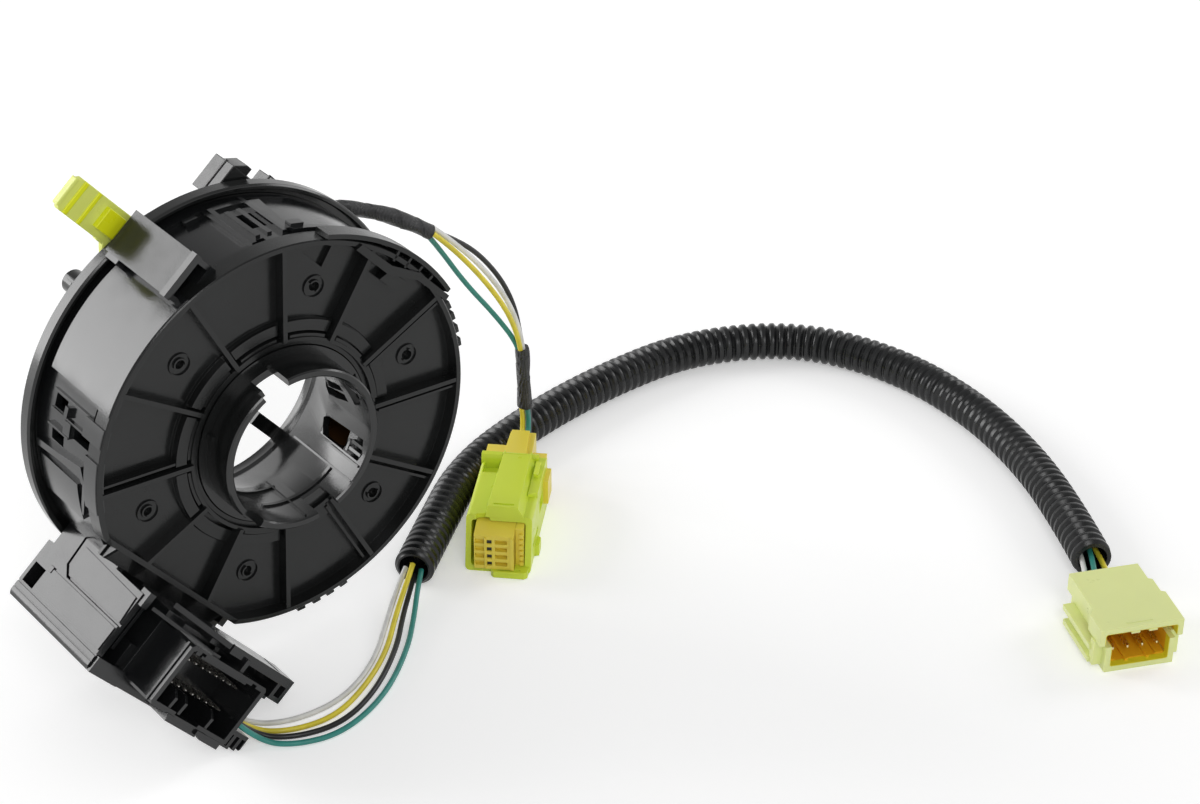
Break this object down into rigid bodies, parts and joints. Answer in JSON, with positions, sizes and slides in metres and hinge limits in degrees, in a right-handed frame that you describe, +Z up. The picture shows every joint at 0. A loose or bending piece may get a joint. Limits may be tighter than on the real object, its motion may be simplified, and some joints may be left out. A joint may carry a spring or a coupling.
{
  "type": "steering clock spring",
  "caption": "Steering clock spring: ribbed round drum with a column bore, socket block, pull-out lock tab, a taped airbag lead and a conduit lead with plugs",
  "frame": {"origin": "centre of the column bore on the steering axis, in the plane of the ribbed cover's rim", "axes": "+Y along the steering axis, from the ribbed column-side cover to the wheel-side plate; +Z up as the part stands on its socket block; the cords and plugs lie on a surface 74 mm below the axis"},
  "size_m": [0.2966, 0.204, 0.1438],
  "materials": {
    "cover_plastic": "matte",
    "drum_plastic": "satin",
    "rotor_plastic": "satin",
    "block_plastic": "satin",
    "lock_yellow": "satin",
    "pin_metal": "satin",
    "ribbon_film": "gloss",
    "plug_ivory": "satin",
    "plug_lime": "satin",
    "insert_yellow": "satin",
    "conduit_black": "satin",
    "tape_black": "matte",
    "wire_white": "satin",
    "wire_yellow": "satin",
    "wire_black": "satin",
    "wire_teal": "satin",
    "wire_mixed": "satin"
  },
  "bodies": {
    "stator": {"stator_drum": "drum_plastic", "rear_cover": "cover_plastic", "socket_block": "block_plastic", "socket_pins": "pin_metal", "flat_cable": "ribbon_film", "harness_wire_white": "wire_white", "harness_wire_yellow": "wire_yellow", "harness_wire_black": "wire_black", "harness_wire_teal": "wire_teal", "conduit": "conduit_black", "tail_wires": "wire_mixed", "vehicle_plug": "plug_ivory", "vehicle_pins": "pin_metal"},
    "rotor": {"rotor_sleeve": "rotor_plastic", "rotor_plate": "rotor_plastic", "lead_housing": "rotor_plastic", "upper_tape": "tape_black", "lead_wire_white": "wire_white", "lead_wire_yellow": "wire_yellow", "lead_wire_black": "wire_black", "lead_wire_teal": "wire_teal", "lower_tape": "tape_black", "plug_wire_white": "wire_white", "plug_wire_yellow": "wire_yellow", "plug_wire_black": "wire_black", "plug_wire_teal": "wire_teal", "airbag_plug": "plug_lime", "airbag_insert": "insert_yellow"},
    "lock_tab": {"lock_tab": "lock_yellow"}
  },
  "joints": [
    {"name": "rotor_turn", "type": "hinge", "parent": "stator", "child": "rotor", "pos_m": [0, 0, 0], "axis": [0, 1, 0], "range_deg": [-720, 720], "deforming": ["flat_cable", "upper_tape", "lead_wire_white", "lead_wire_yellow", "lead_wire_black", "lead_wire_teal", "lower_tape", "plug_wire_white", "plug_wire_yellow", "plug_wire_black", "plug_wire_teal", "airbag_plug", "airbag_insert"]},
    {"name": "lock_tab_pull", "type": "slide", "parent": "rotor", "child": "lock_tab", "axis": [-0.6374, 0, 0.7705], "range_m": [0, 0.012]}
  ]
}
